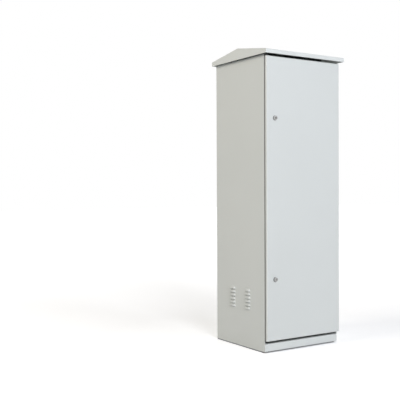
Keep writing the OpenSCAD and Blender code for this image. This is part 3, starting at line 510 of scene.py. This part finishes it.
def rubber_washer(name, outer, inner, low, high):
    middle = (low + high) / 2
    thick = high.y - low.y
    bpy.ops.object.select_all(action="DESELECT")
    bpy.ops.mesh.primitive_cylinder_add(vertices=WASHER_SIDES, radius=outer, depth=thick,
                                        location=middle, rotation=(math.pi / 2, 0.0, 0.0))
    washer = bpy.context.object
    settled()
    start_on(washer, name, rubber)
    bpy.ops.mesh.select_mode(type="FACE")
    bpy.ops.mesh.select_all(action="DESELECT")
    bpy.ops.object.mode_set(mode="OBJECT")
    for face in washer.data.polygons:
        face.select = abs(face.normal.y) > FACING
    bpy.ops.object.mode_set(mode="EDIT")
    bpy.ops.mesh.inset(thickness=outer - inner)
    bpy.ops.mesh.delete(type="FACE")
    bpy.ops.mesh.select_mode(type="EDGE")
    bpy.ops.mesh.select_all(action="DESELECT")
    bpy.ops.mesh.select_non_manifold()
    bpy.ops.mesh.bridge_edge_loops()
    bpy.ops.mesh.select_all(action="DESELECT")
    bpy.ops.object.mode_set(mode="OBJECT")
    for edge in washer.data.edges:
        ends = [washer.data.vertices[i].co for i in edge.vertices]
        on_rim = min((end - middle).xz.length for end in ends) > (outer + inner) / 2
        edge.select = on_rim and abs(ends[0].y - ends[1].y) < thick / 2
    bpy.ops.object.mode_set(mode="EDIT")
    bpy.ops.mesh.bevel(offset=RIM_SHARE * thick, segments=RIM_STEPS, affect="EDGES")
    return finish_off()


for which in ("upper", "lower"):
    low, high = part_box(which + "_lock_seal")
    head_r = (high.x - low.x) / 2
    washer = rubber_washer(which + "_lock_washer", head_r + SWELL, WASHER_BORE, low, high)
    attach(washer, "door")
    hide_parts(which + "_lock_seal")

# Floor: a plain white studio sweep. The lens sees it as white, and it keeps the shadow of the
# cabinet. The patch under the cabinet has the same finish without the glow, so the plinth stays
# dark inside.
FLOOR_SIZE, FLOOR_CLOUD, FLOOR_ROUGHNESS = 60.0, 0.6, 0.9
FLOOR_DARK, FLOOR_LIGHT = (0.84, 0.84, 0.84), (0.86, 0.86, 0.86)
NEAR_GLOW, FAR_GLOW, GLOW_REACH = 0.42, 1.0, (1.2, 6.0)
PATCH_MIDDLE, PATCH_SIZE = (0.0, 0.0155, 0.0001), (0.598, 0.524, 1.0)


def lens_sees(tree):
    path = tree.nodes.new("ShaderNodeLightPath")
    seen = path.outputs["Is Camera Ray"]
    for mirrored in ("Is Glossy Ray", "Is Transmission Ray"):
        either = tree.nodes.new("ShaderNodeMath")
        either.operation = "MAXIMUM"
        tree.links.new(seen, either.inputs[0])
        tree.links.new(path.outputs[mirrored], either.inputs[1])
        seen = either.outputs[0]
    return seen


def studio_white(name):
    material, tree, shader, place = new_finish(name)
    tone = toned(tree, grain(tree, place, FLOOR_CLOUD), FLOOR_DARK, FLOOR_LIGHT)
    tree.links.new(tone, shader.inputs["Base Color"])
    shader.inputs["Roughness"].default_value = FLOOR_ROUGHNESS
    shader.inputs["Specular IOR Level"].default_value = 0.0
    return material, tree, shader, place


bpy.ops.object.select_all(action="DESELECT")
bpy.ops.mesh.primitive_plane_add(size=FLOOR_SIZE)
floor = bpy.context.object
floor.name = "studio_floor"
white, tree, shader, place = studio_white("studio_floor")
reach = tree.nodes.new("ShaderNodeVectorMath")
reach.operation = "LENGTH"
tree.links.new(place, reach.inputs[0])
glow = ranged(tree, reach.outputs["Value"], NEAR_GLOW, FAR_GLOW, *GLOW_REACH)
shader.inputs["Emission Color"].default_value = (1.0, 1.0, 1.0, 1.0)
tree.links.new(multiplied(tree, glow, lens_sees(tree)), shader.inputs["Emission Strength"])
floor.data.materials.append(white)
bpy.ops.object.select_all(action="DESELECT")
bpy.ops.mesh.primitive_plane_add(size=1.0, location=PATCH_MIDDLE)
patch = bpy.context.object
patch.name = "shaded_floor"
patch.scale = PATCH_SIZE
patch.data.materials.append(studio_white("shaded_floor")[0])

# Light: a dim white room, two large cool softboxes far in front, one on each side, a warm one high
# on the left and a gridded one behind. They stand well back, so the light falls off little from
# canopy to ground.
ROOM_LIGHT, ROOM_SEEN = 0.15, 1.0
COOL, WARM, WHITE = (0.914, 0.932, 1.0), (1.0, 0.917, 0.787), (1.0, 1.0, 1.0)
BODY_MIDDLE, BACK_MIDDLE = (0.0, 0.0, 0.9), (0.0, 0.0, 1.1)
NO_GRID, BACK_GRID = 180.0, 40.0
world = bpy.data.worlds.new("studio")
bpy.context.scene.world = world
world.use_nodes = True
sky = world.node_tree
backdrop = sky.nodes["Background"]
backdrop.inputs["Color"].default_value = (1.0, 1.0, 1.0, 1.0)
sky.links.new(ranged(sky, lens_sees(sky), ROOM_LIGHT, ROOM_SEEN), backdrop.inputs["Strength"])


def softbox(name, place, aim, width, power, colour, spread=NO_GRID):
    lamp = bpy.data.lights.new(name, "AREA")
    lamp.shape = "RECTANGLE"
    lamp.size, lamp.size_y = width, width
    lamp.spread = math.radians(spread)
    lamp.energy = power
    lamp.color = colour
    held = bpy.data.objects.new(name, lamp)
    bpy.context.scene.collection.objects.link(held)
    held.location = place
    held.rotation_euler = (Vector(aim) - Vector(place)).to_track_quat("-Z", "Y").to_euler()


softbox("front_softbox", (-2.5, -8.0, 4.0), BODY_MIDDLE, 3.0, 433.0, COOL)
softbox("right_softbox", (2.6, -8.0, 6.5), BODY_MIDDLE, 4.0, 220.0, COOL)
softbox("left_softbox", (-5.4, 0.5, 4.6), BODY_MIDDLE, 2.6, 150.0, WARM)
softbox("back_softbox", (5.0, 6.0, 2.2), BACK_MIDDLE, 2.5, 24.0, WHITE, BACK_GRID)

# Camera: level with the middle of the cabinet, turned to its front left corner. Its place, turn and
# lens were fitted to the straight edges of the cabinet.
EYE, LENS_MM, SENSOR_MM = (-3.0070, -3.7285, 1.0142), 64.295, 36.0
YAW, PITCH, ROLL = (math.radians(a) for a in (32.7060, -0.8412, -0.2527))
flat = math.cos(PITCH)
ahead = Vector((math.sin(YAW) * flat, math.cos(YAW) * flat, math.sin(PITCH)))
level = Vector((math.cos(YAW), -math.sin(YAW), 0.0))
upright = level.cross(ahead)
right = level * math.cos(ROLL) + upright * math.sin(ROLL)
above = upright * math.cos(ROLL) - level * math.sin(ROLL)
lens = bpy.data.cameras.new("camera")
lens.lens = LENS_MM
lens.sensor_width = SENSOR_MM
camera = bpy.data.objects.new("camera", lens)
bpy.context.scene.collection.objects.link(camera)
turn = Matrix((right, above, -ahead)).transposed().to_4x4()
camera.matrix_world = Matrix.Translation(EYE) @ turn
bpy.context.scene.camera = camera
bpy.context.scene.view_settings.view_transform = "Standard"
